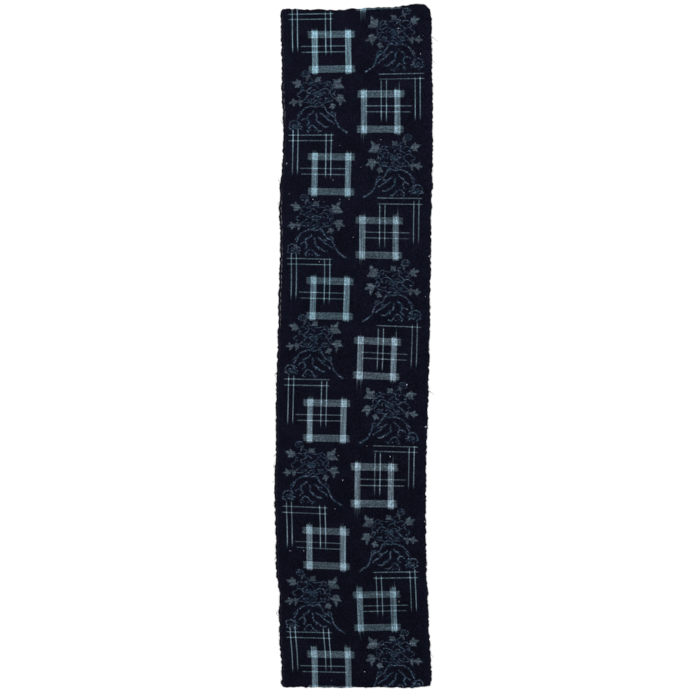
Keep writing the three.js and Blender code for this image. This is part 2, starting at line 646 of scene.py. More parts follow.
def triple(x, y, z):
    return made_by("ShaderNodeCombineXYZ", {}, {0: x, 1: y, 2: z})


def parts_of(vector):
    node = vector.tree.nodes.new("ShaderNodeSeparateXYZ")
    feed(vector.tree, node.inputs[0], vector)
    return [Wire(vector.tree, output) for output in node.outputs]


def along_line(point, weights):
    """The point's x and y times the first two weights, plus the third. The point's third number is 1."""
    return made_by("ShaderNodeVectorMath", {"operation": "DOT_PRODUCT"}, {0: point, 1: weights}, "Value")


def chances(x, y, z):
    """Three random numbers from 0 to 1 for each cell that the three values name."""
    seeds = triple(x, y, z)
    colour = made_by("ShaderNodeTexWhiteNoise", {"noise_dimensions": "3D"}, {"Vector": seeds}, "Color")
    return parts_of(colour)


def cloud(x, y, z, scale, detail=2.0):
    """Smooth noise around 0.5."""
    feeds = {"Vector": triple(x, y, z), "Scale": scale, "Detail": detail}
    return made_by("ShaderNodeTexNoise", {"noise_dimensions": "3D"}, feeds, "Fac")


def band(value, low, high, soft):
    """1 between low and high and 0 outside, with soft edges."""
    middle, half = (low + high) / 2, (high - low) / 2
    return ease(absolute(value - middle), half - soft, half + soft, 1.0, 0.0)


def group_of(name, inputs, build):
    """A node group with these inputs, whose output is what build makes of them."""
    tree = bpy.data.node_groups.new(name, "ShaderNodeTree")
    for label, kind in inputs.items():
        tree.interface.new_socket(label, in_out="INPUT", socket_type="NodeSocket" + kind)
    tree.interface.new_socket("Value", in_out="OUTPUT", socket_type="NodeSocketFloat")
    start = tree.nodes.new("NodeGroupInput")
    result = build(*[Wire(tree, start.outputs[label]) for label in inputs])
    end = tree.nodes.new("NodeGroupOutput")
    tree.links.new(result.socket, end.inputs["Value"])
    return tree


def grouped(group, **feeds):
    return made_by("ShaderNodeGroup", {"node_tree": group}, feeds, "Value")


def read(tree, name):
    """The three numbers stored on the mesh under this name."""
    node = tree.nodes.new("ShaderNodeAttribute")
    node.attribute_name = name
    return parts_of(Wire(tree, node.outputs["Vector"]))


# The squares and their crossing lines, in millimetres out from the pattern's middle line and down from
# the upper edge of the square.

THICK_WARPS = [
    # from, to, reach of the drips below it in the left column, and in the right one
    (10.2, 23.2, 4, 32),
    (83.2, 96.2, 4, 7),
]
THIN_WARPS = {
    "inner": [
        # at left, at right, left start, left end, right start, right end
        (54.4, 54.4, -44, 50, -22, 67),
        (65.8, 65.8, -44, 50, -23, 68),
    ],
    "outer": [
        (127.2, 128.6, -55, 41, -30, 60),
        (138.2, 139.6, -53, 43, -34, 59),
    ],
}
THICK_WEFTS = [
    # from, to, out from, out to
    (0, 15.3, 2.6, 104.4),
    (76.5, 91.8, 2.6, 103.0),
]
THIN_WEFTS = [
    # at, out from, out to, tone
    (UPPER_LINE, 49, 147, 1.22),
    (-28.8, 50, 147, 1.2),
    (33.5, 21, 121, 1.06),
    (46.3, 21, 118, 1.06),
]
THIN_HALF = 1.1
THIN_SOFT = 0.35
THIN_TONE = 1.08
THICK_WARP_END = 94.0

# The sides' warps were tied in bundles with ragged ends. Some run on as faint spikes above and drips below.
BUNDLE_WIDTH = 1.5
RAGGED = 2.2
WARP_FADE = 0.8
SPIKE_REACH = 11.0
SPIKE_TONE = 0.46

# How far a thin warp fades in and out before and after each of its ends, and how soft the wefts' edges are.
THIN_START = (4, 3)
THIN_END = (10, 8)
BAR_SOFT = 0.5
BAR_END_SOFT = 2.2
LINE_END_SOFT = 2.5

# The single warp above the outer side of each square of the right column.
LONE_WARP = {"out": 93.8, "tone": 0.74, "from": -27.0, "full": -8.0}

# The flower in millimetres from its middle, x outwards and y up.
# Leaves: middle, width of the lobes, tone, and the direction in degrees and length of each lobe.
LEAVES = [
    # x, y, lobe width, tone, lobes
    (-48, 21, 4.8, 1.0, [(115, 19), (49, 15), (5, 11.5), (-37, 11), (208, 17.5), (243, 11), (-79, 10)]),
    (-53, -9.5, 3.9, 1.0, [(148, 11.5), (115, 9.5), (63, 9), (2, 13), (204, 16), (-91, 18), (-55, 10.5)]),
    (-36.5, -24.5, 3.2, 1.0, [(85, 6.5), (178, 6.5), (-89, 9), (-29, 11.5), (39, 7)]),
    (-2.5, 33.5, 3.0, 0.85, [(143, 9), (53, 7.5), (210, 9), (-28, 7.5), (-95, 4.5), (16, 7)]),
    (41, 25.5, 3.8, 1.0, [(68, 12.5), (128, 8), (19, 17), (-40, 12), (-93, 8.5), (200, 7.5)]),
    (50, -14.5, 3.0, 1.0, [(56, 10), (-5, 13), (-72, 10), (162, 9.5), (215, 6.5)]),
    (37, -15, 2.7, 0.85, [(145, 8), (69, 8.5), (-82, 11), (256, 8), (10, 6)]),
    (20, 39.5, 2.2, 0.75, [(146, 7), (-76, 9.5), (20, 5)]),
]

# Patches: middle, half width and half height, and tone.
PATCHES = [
    # x, y, half x, half y, tone
    (-2, 1, 9, 4.8, 0.56),
    (-27, -12, 4.5, 4, 0.3),
    (-21, -11, 3, 3.5, 0.22),
    (-5.5, -11.5, 5, 4, 0.32),
    (14, -10, 3.5, 3, 0.24),
    (3, -20.5, 3.2, 4.5, 0.6),
    (-13, -26.5, 3.5, 4, 0.34),
    (-37, -43, 5, 3, 0.4),
    (-24, -49, 5, 3.2, 0.42),
    (-6, -61, 4, 3, 0.3),
    (45.5, -70, 8, 6.5, 0.46),
    (24, 47, 5, 4.5, 0.3),
    (1, 26, 8, 2, 0.2),
    (39.5, -41, 3.2, 6.5, 0.16),
    (19.5, -61, 3, 5, 0.2),
]

# Lines: half the width of each, and the points that it runs through. A stroke of a line bows by its turn
# divided by TURN_PER_BOW.
TURN_PER_BOW = 13
PETALS = [
    # half width, [(x, y), (x, y), ...]
    (0.9, [(-35, 20.5), (-31, 26), (-26.5, 28), (-22.5, 25.5), (-25.5, 19.5)]),
    (0.8, [(-22.5, 25), (-17, 26), (-11, 25), (-4, 25.5)]),
    (1.0, [(-9, 29), (-1, 29), (6, 29), (11.5, 27.5), (15, 27)]),
    (0.9, [(-39, 13), (-35, 14), (-32, 17.5), (-27, 20), (-22, 19.5), (-17.5, 17.5)]),
    (1.0, [(-26, -0.5), (-29, 4.5), (-27.5, 9), (-23, 12.5), (-18.5, 13), (-13.5, 11.5), (-4, 7)]),
    (0.9, [(-14.5, 6), (-18, 5.5), (-20, 2.5), (-18.5, -0.5)]),
    (0.8, [(-13, 3), (-8, 5.5), (-2, 6.5), (4, 5.5), (7, 2.5)]),
    (1.0, [(-12, 1), (-7, -3), (-1, -4), (5, -1.5), (9, 2.5)]),
    (0.9, [(2, 9), (7, 10.5), (12, 8.5), (15, 4.5)]),
    (0.7, [(3.5, 6), (8, 4), (13, 3)]),
    (0.9, [(-4.5, 14), (-1, 18.5), (4, 21.5), (8, 22.5)]),
    (1.1, [(11.5, 27), (10, 22), (10.5, 17.5), (18.5, 13.5), (22, 9.5), (19, 6), (13, 2.5)]),
    (0.9, [(22, 9), (31.5, 11.5), (35, 8), (40.5, 5.5), (44, 1.5), (41, -1.5), (35.5, -4.5)]),
    (0.9, [(16, 22.5), (21, 26), (26.5, 27), (31, 25), (33, 21), (30, 17.5)]),
    (0.8, [(26.5, 16.5), (32, 17.5), (34.5, 14), (31.5, 11)]),
    (1.4, [(18, 1), (22, -3.5), (31, -11)]),
    (0.9, [(5.5, -5.5), (8.5, -10), (12.5, -13.5), (17.5, -12.5), (20, -9)]),
    (0.7, [(11, -7.5), (14.5, -10), (16.5, -7.5)]),
    (0.9, [(-11, -11), (-8, -8), (-3, -9), (3, -13.5), (8, -17), (12, -18.5), (16, -16.5), (31, -15)]),
    (0.9, [(-33, -15), (-26, -16.5), (-19, -16.5), (-14, -19.5), (-5, -16.5), (1.5, -22)]),
    (0.8, [(-31, -10.5), (-27, -8.5), (-22, -9.5), (-18, -7)]),
    (0.8, [(-22, -13.5), (-19.5, -10.5), (-20.5, -7.5)]),
    (0.9, [(-39.5, 12), (-42, 7), (-39.5, 1.5), (-43, -3.5)]),
    (0.9, [(-39.5, 1.5), (-34, 0), (-34.5, -4.5), (-39, -8.5), (-37, -12.5), (-33, -15)]),
    (0.8, [(-36, 11), (-31.5, 8), (-30.5, 3.5), (-34, 0)]),
    (0.7, [(-33, 24), (-36, 18), (-37, 13)]),
    (0.7, [(7, 31.5), (10.5, 34.5), (16, 37)]),
    (0.9, [(18.5, 44), (18.5, 49.5), (24, 53), (31, 52), (34.5, 47.5), (31.5, 42), (26, 41)]),
    (0.8, [(27.5, 46), (30.5, 48.5), (28, 50)]),
]
STEMS = [
    (1.1, [(-18, -27), (-15.5, -23.5), (-11.5, -22.5), (-7, -24.5), (-1, -25.5), (5.5, -24), (12, -23.5)]),
    (1.1, [(12, -23.5), (18, -25), (31.5, -32), (35, -39), (38.5, -45.5), (43, -52.5)]),
    (1.3, [(-18, -25), (-19.5, -30), (-26, -40.5), (-33, -44.5), (-39, -48.5), (-42.5, -52.5), (-45, -60)]),
    (1.4, [(-45, -60), (-49, -69), (-56, -76), (-65, -82), (-71, -86)]),
    (0.9, [(-42, -47), (-42.5, -42.5), (-37.5, -39), (-32, -40)]),
    (1.1, [(-6.5, -40.5), (-13.5, -43.5), (-19, -48.5), (-23, -53), (-34.5, -60), (-40.5, -65.5)]),
    (1.3, [(1, -41), (-0.5, -47), (-0.5, -53.5), (-3, -58.5), (-14, -65.5), (-18, -70), (-28.5, -70.5)]),
    (1.3, [(7.5, -34), (9.5, -38.5), (19, -44), (20.5, -49), (19.5, -54), (17, -59.5), (22.5, -66.5)]),
    (1.1, [(20.5, -50.5), (27, -51.5), (33.5, -56)]),
    (0.7, [(35, -35), (40.5, -41), (44, -46)]),
    (1.1, [(-8, -80), (-2, -77.5), (5, -69), (10, -67), (15.5, -69), (18, -74), (21.5, -77.5), (18, -82)]),
    (0.8, [(-12, -79), (-6, -81.5), (-4, -83.5)]),
    (0.8, [(3.5, -79.5), (7, -79)]),
    (0.8, [(12, -78), (15, -76.5)]),
    (1.0, [(39.5, -66), (43.5, -60), (48.5, -55.5), (55, -56.5), (60.5, -60), (61, -65.5), (59.5, -68.5)]),
    (1.0, [(59.5, -68.5), (62.5, -72), (56.5, -74), (51.5, -79)]),
    (0.9, [(32.5, -70), (39, -67.5), (44.5, -62)]),
    (0.8, [(35, -63), (40, -60), (43, -55)]),
    (0.9, [(47, -67), (50, -64), (54.5, -66), (52, -70), (46, -72)]),
    (0.8, [(35, -76), (41, -72), (45, -76)]),
    (0.9, [(-7, -63), (-8.5, -67)]),
    (0.9, [(-27.5, -49), (-24, -46), (-19, -47)]),
]


def spans(half, points):
    """The strokes that follow one another along a smooth line: from, to, bow to the left, half width."""
    padded = [points[0], *points, points[-1]]
    found = []
    for before, start, end, after in zip(padded, padded[1:], padded[2:], padded[3:]):
        way_x, way_y = end[0] - start[0], end[1] - start[1]
        turn_x = start[0] + end[0] - before[0] - after[0]
        turn_y = start[1] + end[1] - before[1] - after[1]
        bow = (turn_y * way_x - turn_x * way_y) / math.hypot(way_x, way_y) / TURN_PER_BOW
        found.append((start, end, bow, half))
    return found


def line_weights(x, y, way_x, way_y, scale, offset=0.0):
    """Weights for the distance from x, y along a way, times a scale, less an offset."""
    return (way_x * scale, way_y * scale, -(x * way_x + y * way_y) * scale - offset)


def stroke_field(point, run_weights, aside_weights, bow, stretch):
    run = along_line(point, run_weights)
    off = absolute(times_plus(run * run, bow, along_line(point, aside_weights)))
    end = times_plus(absolute(run), stretch, 1.0 - stretch)
    return larger(off, end)


STROKE = group_of(
    "bowed_stroke",
    {"Point": "Vector", "Run": "Vector", "Aside": "Vector", "Bow": "Float", "Stretch": "Float"},
    stroke_field,
)


def stroke(point, start, end, bow, half):
    """Under 1 on a bowed line and over 1 beside it or past its ends."""
    (from_x, from_y), (to_x, to_y) = start, end
    length = math.hypot(to_x - from_x, to_y - from_y)
    way_x, way_y = (to_x - from_x) / length, (to_y - from_y) / length
    x, y = (from_x + to_x) / 2, (from_y + to_y) / 2
    return grouped(
        STROKE,
        Point=point,
        Run=line_weights(x, y, way_x, way_y, 2 / length),
        Aside=line_weights(x, y, -way_y, way_x, 1 / half, bow / half),
        Bow=bow / half,
        Stretch=length / 2 / half,
    )


def lobe_field(point, run_weights, aside_weights):
    run = along_line(point, run_weights)
    return times_plus(run, run, absolute(along_line(point, aside_weights)))


LOBE = group_of("leaf_lobe", {"Point": "Vector", "Run": "Vector", "Aside": "Vector"}, lobe_field)


def lobe(point, x, y, direction, length, half):
    """Under 1 inside a leaf's lobe, which narrows to a tip at both ends."""
    angle = math.radians(direction)
    way_x, way_y = math.cos(angle), math.sin(angle)
    back = 0.45 * length
    reach = (length + back) / 2
    middle_x = x + way_x * (length - back) / 2
    middle_y = y + way_y * (length - back) / 2
    return grouped(
        LOBE,
        Point=point,
        Run=line_weights(middle_x, middle_y, way_x, way_y, 1 / reach),
        Aside=line_weights(middle_x, middle_y, -way_y, way_x, 1 / half),
    )


# How undyed the flower's lines and the haze beside them are, and how wide the lines are drawn.
PETAL_TONE = 0.87
STEM_TONE = 1.08
HALO_TONE = 0.11
PETAL_WIDTH = 1.15
STEM_WIDTH = 1.15


def patch(point, x, y, half_x, half_y):
    """Under 1 inside an oval."""
    over = along_line(point, (1 / half_x, 0, -x / half_x))
    up = along_line(point, (0, 1 / half_y, -y / half_y))
    return maths("SQRT", times_plus(over, over, up * up))


def leaf(point, fray, x, y, width, tone, lobes):
    """This tone inside a leaf and 0 outside it."""
    shape = nearest(lobe(point, x, y, turn, size, width) for turn, size in lobes)
    return ease(shape + fray, 0.8, 1.25, tone, 0.0)


def line_tones(point, fray):
    """How undyed the wefts are on the lines and in their haze: first the petals', then the stems'."""
    for paths, width, tone in ((PETALS, PETAL_WIDTH, PETAL_TONE), (STEMS, STEM_WIDTH, STEM_TONE)):
        rows = [row for half, points in paths for row in spans(half * width, points)]
        away = nearest(stroke(point, *row) for row in rows)
        yield ease(away + fray * 0.5, 0.5, 1.5, tone, 0.0)
        yield ease(away + fray * 2, 1.2, 3.2, HALO_TONE, 0.0)


def patch_tones(point, fray):
    """How undyed the wefts are in each of the patches between the lines."""
    for *oval, tone in PATCHES:
        yield ease(patch(point, *oval) + fray * 0.4, 0.6, 1.2, tone, 0.0)


def thick_warp_tone(weave):
    """How undyed the warps are on the squares' sides, which run out in drips below and spikes above."""
    bundle = maths("FLOOR", weave.out / BUNDLE_WIDTH)
    start_chance, end_chance, tone_chance = chances(bundle, weave.block, 3.0)
    shifted = weave.place + times_plus(tone_chance, RAGGED, -RAGGED / 2)
    risen = shifted + weave.rise
    begins = ease(risen, -2 * WARP_FADE, WARP_FADE)
    early = times_plus(start_chance * start_chance, SPIKE_REACH, 1.0)
    begins = larger(begins, ease(risen, 0.0 - early, 0.0, 0.0, SPIKE_TONE))
    tone = None
    for low, high, left_drip, right_drip in THICK_WARPS:
        ends = ease(shifted, THICK_WARP_END - WARP_FADE, THICK_WARP_END + 2 * WARP_FADE, 1.0, 0.0)
        drip = times_plus(weave.column, right_drip - left_drip, left_drip)
        late = times_plus(end_chance * end_chance, drip, 1.0 + THICK_WARP_END)
        ends = larger(ends, ease(shifted, THICK_WARP_END, late, SPIKE_TONE, 0.0))
        half = (high - low) / 2
        side = ease(absolute(weave.out - (low + high) / 2), half - 0.7, half + 0.6, 1.0, 0.0)
        bar = side * begins * ends
        tone = bar if tone is None else larger(tone, bar * ease(weave.rise, 0.3, 0.6))
    return tone * times_plus(tone_chance, 0.3, 0.85)


def thin_line(distance, tone):
    """This tone on a thin line and 0 beside it."""
    return ease(absolute(distance), THIN_HALF - THIN_SOFT, THIN_HALF + THIN_SOFT, tone, 0.0)


def thin_warp_tones(weave):
    """How undyed the warps are on the thin upright lines."""
    for name, move in (("inner", weave.inner_move), ("outer", weave.outer_move)):
        place = weave.place - move
        for at_left, at_right, left_start, left_end, right_start, right_end in THIN_WARPS[name]:
            at = times_plus(weave.column, at_right - at_left, at_left)
            start = times_plus(weave.column, right_start - left_start, left_start)
            end = times_plus(weave.column, right_end - left_end, left_end)
            begins = ease(place, start - THIN_START[0], start + THIN_START[1])
            run = begins * ease(place, end - THIN_END[0], end + THIN_END[1], 1.0, 0.0)
            yield thin_line(weave.out - at, THIN_TONE) * run


def lone_warp_tone(weave):
    """How undyed the single warp above the outer side of each square of the right column is."""
    side = ease(absolute(weave.out - LONE_WARP["out"]), 0.4, 1.1, LONE_WARP["tone"], 0.0) * weave.column
    begins = ease(weave.place, LONE_WARP["from"], LONE_WARP["full"])
    return side * begins * ease(weave.place, 0.0, 4.0, 1.0, 0.0)


def weft_tone(weave):
    """How undyed the wefts are on the squares' upper and lower sides and on the thin level lines."""
    shifted = weave.out + weave.jag
    tone = None
    for low, high, start, end in THICK_WEFTS:
        bar = band(weave.place, low, high, BAR_SOFT) * band(shifted, start, end, BAR_END_SOFT)
        tone = bar if tone is None else larger(tone, bar)
    topmost = ease(weave.pair, 0.4, 0.6)
    for at, start, end, paleness in THIN_WEFTS:
        line = thin_line(weave.place - at, paleness) * band(shifted, start, end, LINE_END_SOFT)
        if at == UPPER_LINE:
            line = line * topmost
        tone = larger(tone, line)
    return tone


# Materials

# The dyed yarns vary between two colours. The undyed ones differ on the squares, the leaves, the flower's
# lines and patches, the haze beside them, and where the selvedge is worn.
WARM_GROUND = (0.0043, 0.0031, 0.0092)
COOL_GROUND = (0.0023, 0.0043, 0.0087)
GREY_YARN = (0.183, 0.256, 0.313)
BLUE_YARN = (0.172, 0.287, 0.352)
LEAF_YARN = (0.212, 0.300, 0.378)
FAINT_YARN = (0.188, 0.234, 0.325)
TEAL_YARN = (0.088, 0.202, 0.310)
HAZE_YARN = (0.040, 0.150, 0.360)
WORN_YARN = (0.112, 0.105, 0.110)

# How much of the undyed colour shows: for an undyed warp, for an undyed weft, and more where they cross.
WARP_SHARE = 0.46
WEFT_SHARE = 0.22
CROSS_SHARE = 0.09

# The widths of one yarn, of a grain in the face, and of a group of wefts, and how far a group and a single
# weft slip sideways.
YARN = 0.52
GRAIN = 1.9
GROUP = 1.9
GROUP_SLIP = 2.4
YARN_SLIP = 1.0

# How strongly the yarns' ribs bend the light, and how deep they are.
RIBS_STRENGTH = 0.35
RIBS_DEPTH = 0.00008

# Where a repeat starts for the squares and for the flowers.
SQUARE_START = -70.0
FLOWER_START = 75.0

# How far chance bends the flower's drawing: out and up in long waves, up in short ones, and out with the
# face's roughness and with a share of the wefts' slip. FRAY is how rough its edges are.
BEND = {"out": 5.0, "up": 4.0, "short": 3.0, "rough": 3.2, "slip": 0.8}
FRAY = 1.5

# Where the left selvedge is worn: a line this far inside it, and the stretches where it shows most.
WORN_INSIDE = 4.6
WORN_STRETCHES = [
    # along, reach
    (1281, 38),
    (1028, 40),
    (880, 92),
]


def mixed(share, first, second, clamp=True):
    """A colour between two others, each plain or a wire, or past the second one without the clamp."""
    settings = {"data_type": "RGBA", "blend_type": "MIX", "clamp_factor": clamp}
    return made_by("ShaderNodeMix", settings, {0: share, 6: first, 7: second}, 2)


def colour(values):
    return (*values, 1.0)


def new_material(name):
    """A material and its shader."""
    material = bpy.data.materials.new(name)
    material.use_nodes = True
    return material, material.node_tree.nodes["Principled BSDF"]


class Weave:
    """The places and chances that every part of the cloth's pattern is worked out from."""

    def __init__(self, tree):
        u, left_square, right_square = read(tree, "weave")
        left_flower, right_flower, self.inner_move = read(tree, "flowers")
        self.outer_move, self.pair, self.rise = read(tree, "lines")
        self.u = u
        self.column = maths("GREATER_THAN", u, 0.0)
        self.out = absolute(u)
        self.unrolled = left_square + self.column * (right_square - left_square)
        self.place, self.block = self.folded(self.unrolled, SQUARE_START)
        unrolled_flower = left_flower + self.column * (right_flower - left_flower)
        self.flower_place, self.flower_block = self.folded(unrolled_flower, FLOWER_START)
        group, self.group_tone, _ = chances(maths("FLOOR", self.unrolled / GROUP), self.column, 7.0)
        single, _, _ = chances(maths("FLOOR", self.unrolled / YARN), self.column, 9.0)
        level = -(GROUP_SLIP + YARN_SLIP) / 2
        self.jag = times_plus(group, GROUP_SLIP, times_plus(single, YARN_SLIP, level))

    def folded(self, unrolled, start):
        """The place within one repeat that starts there, and a number that each repeat has to itself."""
        repeat = maths("FLOOR", (unrolled - start) / PERIOD)
        return times_plus(repeat, -PERIOD, unrolled), times_plus(self.column, 17.0, repeat)


def flower_tones(weave, rough):
    """How undyed the wefts are on the flower's lines, in its patches and on its leaves."""
    drift = cloud(weave.out, weave.unrolled, weave.column, 0.055, 1.0) - 0.5
    sway = cloud(weave.unrolled, weave.out, weave.column, 0.07, 1.0) - 0.5
    wobble = cloud(weave.unrolled, weave.out, weave.flower_block, 0.3, 1.0) - 0.5
    outward = weave.out - FLOWER_OUT
    moved = times_plus(drift, BEND["out"], (rough - 0.5) * BEND["rough"])
    x = times_plus(weave.jag, BEND["slip"], times_plus(outward, FLOWER_STRETCH, moved))
    y = times_plus(sway, BEND["up"], FLOWER_MIDDLE + FLOWER_DROP - weave.flower_place)
    y = times_plus(wobble, BEND["short"], times_plus(outward, FLOWER_LEAN, y))
    spot = triple(x, y, 1.0)
    fray = (rough - 0.5) * FRAY
    broken = cloud(weave.out, weave.unrolled, weave.flower_block, 0.22, 2.0)
    gaps = ease(broken, 0.34, 0.58, 0.35, 1.15) * times_plus(weave.group_tone, 0.6, 0.7)
    lines = palest(line_tones(spot, fray)) * gaps
    patches = palest(patch_tones(spot, fray)) * gaps
    leaves = palest(leaf(spot, fray, *row) for row in LEAVES)
    leaves = leaves * ease(broken, 0.3, 0.7, 0.78, 1.06) * times_plus(weave.group_tone, 0.46, 0.74)
    return lines, patches, leaves


def worn_tone(along, selvedge):
    """Where the selvedge's yarns have faded: all down the left one in a broken line, and in stretches."""
    inside = absolute(selvedge)
    left = maths("LESS_THAN", selvedge, 0.0)
    stretch = nearest([absolute(along - middle) / reach for middle, reach in WORN_STRETCHES])
    stretch = ease(stretch, 0.8, 1.1, 1.0, 0.12)
    dashes = cloud(inside * 0.3, along, 5.0, 0.16, 2.0)
    line = ease(absolute(inside - WORN_INSIDE), 0.2, 1.2, 1.0, 0.0) * ease(dashes, 0.38, 0.6)
    return line * stretch * left


def dyed_colour(weave, edge, along, selvedge, grain, tint, speckle):
    """The dyed ground: uneven, darker at the lower end, darker at the rim with painted shade of the rounded
    edge, and faded beside the selvedges.
    """
    inside = absolute(selvedge)
    light = ease(cloud(weave.u, along, 0.0, 0.02, 3.0), 0.3, 0.7, 0.85, 1.2)
    light = light * ease(along, 0.0, LENGTH, 0.86, 1.14)
    # Towards the rim the colour drops to 0.45: this is painted shade of the thicker, rounded edge.
    light = light * ease(edge, 0.8, 2.4, 0.45, 1.0) * times_plus(grain, 0.9, 0.55) * speckle
    light = light + ease(inside, 5.5, 7.5, 0.2, 0.0) + ease(inside, 12.0, 26.0, 0.1, 0.0)
    ground = mixed(tint, colour(WARM_GROUND), colour(COOL_GROUND))
    return made_by("ShaderNodeVectorMath", {"operation": "SCALE"}, {0: ground, "Scale": light})


def undyed_colour(blue, warp, warp_streak, lines, patches, leaves):
    """The undyed yarns' colour: the squares', or the flower's own where it is paler than the warp."""
    yarn = mixed(blue, colour(GREY_YARN), colour(BLUE_YARN))
    faint = mixed(ease(warp_streak, 0.42, 0.6), colour(FAINT_YARN), colour(TEAL_YARN))
    faint = mixed(ease(lines, 0.12, 0.6), colour(HAZE_YARN), faint)
    faint = mixed(ease(patches - lines, 0.02, 0.2), faint, colour(TEAL_YARN))
    motif = mixed(ease(larger(lines, patches) - leaves, 0.0, 0.1), colour(LEAF_YARN), faint)
    drawn = larger(lines, larger(patches, leaves))
    return mixed(ease(drawn - warp, 0.01, 0.1), yarn, motif)


def cloth_material():
    material, shader = new_material("indigo_ikat")
    tree = material.node_tree
    weave = Weave(tree)
    out, unrolled, column = weave.out, weave.unrolled, weave.column

    warp = larger(palest(thin_warp_tones(weave)), thick_warp_tone(weave))
    warp = larger(warp, lone_warp_tone(weave))
    weft = weft_tone(weave)
    rough = cloud(out, unrolled, column, 0.33, 2.0)
    lines, patches, leaves = flower_tones(weave, rough)

    warp_streak = cloud(out, unrolled * 0.02, column, 0.55, 3.0)
    weft_streak = cloud(out * 0.03, unrolled, column, 0.6, 3.0)
    grain, tint, _ = chances(maths("FLOOR", out / GRAIN), maths("FLOOR", unrolled / GRAIN), column)
    warp_strength, weft_strength, blue = read(tree, "yarns")
    warp = warp * ease(warp_streak, 0.3, 0.7, 0.6, 1.36) * warp_strength
    weft = larger(weft * weft_strength, larger(lines, larger(patches, leaves)))
    weft = weft * ease(weft_streak, 0.3, 0.7, 0.7, 1.26) * times_plus(grain, 0.56, 0.72)
    speckle = ease(rough, 0.34, 0.66, 0.64, 1.36)

    yarn_x, yarn_y = weave.u / YARN, unrolled / YARN
    over = maths("FLOORED_MODULO", maths("FLOOR", yarn_x) + maths("FLOOR", yarn_y), 2.0)
    even = warp * WARP_SHARE + weft * WEFT_SHARE + warp * weft * CROSS_SHARE
    shown = warp * over + weft * (1.0 - over)
    tone = even * (0.55 + shown * 0.9) * speckle

    edge, along, selvedge = read(tree, "edges")
    dyed = dyed_colour(weave, edge, along, selvedge, grain, tint, speckle)
    undyed = undyed_colour(blue, warp, warp_streak, lines, patches, leaves)
    shade = mixed(tone, dyed, undyed, False)
    shade = mixed(worn_tone(along, selvedge), shade, colour(WORN_YARN))
    feed(tree, shader.inputs["Base Color"], shade)

    ribs = absolute(maths("SINE", yarn_x * math.pi)) + absolute(maths("SINE", yarn_y * math.pi))
    feed(tree, shader.inputs["Roughness"], ease(rough, 0.2, 0.8, 0.82, 0.96))
    bump = tree.nodes.new("ShaderNodeBump")
    bump.inputs["Strength"].default_value = RIBS_STRENGTH
    bump.inputs["Distance"].default_value = RIBS_DEPTH
    feed(tree, bump.inputs["Height"], ribs + weft_streak + warp_streak)
    tree.links.new(bump.outputs["Normal"], shader.inputs["Normal"])
    shader.inputs["Specular IOR Level"].default_value = 0.02
    shader.inputs["Sheen Weight"].default_value = 0.01
    shader.inputs["Sheen Roughness"].default_value = 0.5
    return material


# Lint, fuzz and loose threads

LINT_FIBRE = (0.56, 0.58, 0.64)
INDIGO_FIBRE = (0.012, 0.014, 0.024)

# Specks of lint on the face: place, length, direction in degrees, and how pale.
LINT = [
    # x, y, length, direction, tone
    (146, 639, 2.6, 80, 0.35),
    (98, 694, 2.0, 20, 0.28),
    (152, 678, 1.4, 60, 0.16),
    (-146, 399, 2.4, 100, 0.32),
    (-30, 439, 1.3, 10, 0.12),
    (59, 451, 1.6, 140, 0.18),
    (16, 391, 1.5, 30, 0.16),
    (-45, 363, 1.6, 70, 0.18),
    (-141, 333, 1.6, 120, 0.2),
    (-89, 321, 2.2, 40, 0.34),
    (-65, 315, 1.4, 90, 0.14),
    (-30, 321, 1.5, 160, 0.16),
    (-10, 321, 1.5, 15, 0.16),
    (31, 276, 2.8, 50, 0.62),
    (-75, 184, 2.0, 110, 0.36),
    (-1, 238, 1.4, 75, 0.16),
    (157, 108, 1.5, 130, 0.16),
    (116, -84, 3.2, 70, 0.72),
    (29, -218, 1.8, 25, 0.24),
    (80, -241, 3.0, 140, 0.72),
    (-33, -239, 2.2, 65, 0.34),
    (-24, -293, 2.2, 30, 0.34),
    (-41, -355, 1.7, 95, 0.24),
    (-139, -447, 2.0, 150, 0.28),
    (-109, -447, 2.0, 20, 0.3),
    (155, -383, 2.4, 80, 0.38),
    (99, -558, 1.5, 45, 0.2),
    (24, -711, 2.6, 135, 0.28),
    (-48, -730, 1.5, 15, 0.18),
]
LINT_WIDTH = 0.6
LINT_STRANDS = 6

# Larger tufts of lint caught at the right selvedge.
TUFTS = [
    # x, y, length, direction, tone
    (166, 197, 4.6, 75, 0.85),
    (158, -176, 5.0, 15, 0.85),
]

# Loose ends of yarn past the selvedges, each through three points beside its selvedge: how far outside it
# is (less than nothing is inside), and how far up the cloth.
LOOSE_ENDS = [
    # side, [(outside, y), (outside, y), (outside, y)]
    (1, [(-4, 678), (6, 672), (13, 664)]),
    (1, [(-3, 626), (2, 623), (7, 617)]),
    (1, [(-3, -96), (5, -101), (12, -107)]),
    (1, [(-4, -674), (3, -676), (6, -682)]),
    (-1, [(-4, 485), (2, 488), (5, 495)]),
    (-1, [(-4, 357), (3, 361), (6, 368)]),
    (-1, [(-3, 312), (1, 313), (3, 309)]),
    (-1, [(-3, -58), (2, -60), (4, -66)]),
    (-1, [(-3, -239), (2, -238), (5, -243)]),
    (-1, [(-3, -265), (2, -264), (4, -259)]),
    (-1, [(-3, -297), (2, -298), (5, -295)]),
    (-1, [(-3, -461), (2, -463), (4, -469)]),
    (-1, [(-4, -590), (4, -586), (2, -578)]),
]
LOOSE_WIDTH = 0.9

# The fuzz of the edges: short fibre ends that stick out all round, but for some mesh points at each corner.
FUZZ = {"count": 1400, "shortest": 0.8, "longest": 2.6, "width": 0.3, "seed": 41, "corner": 6}


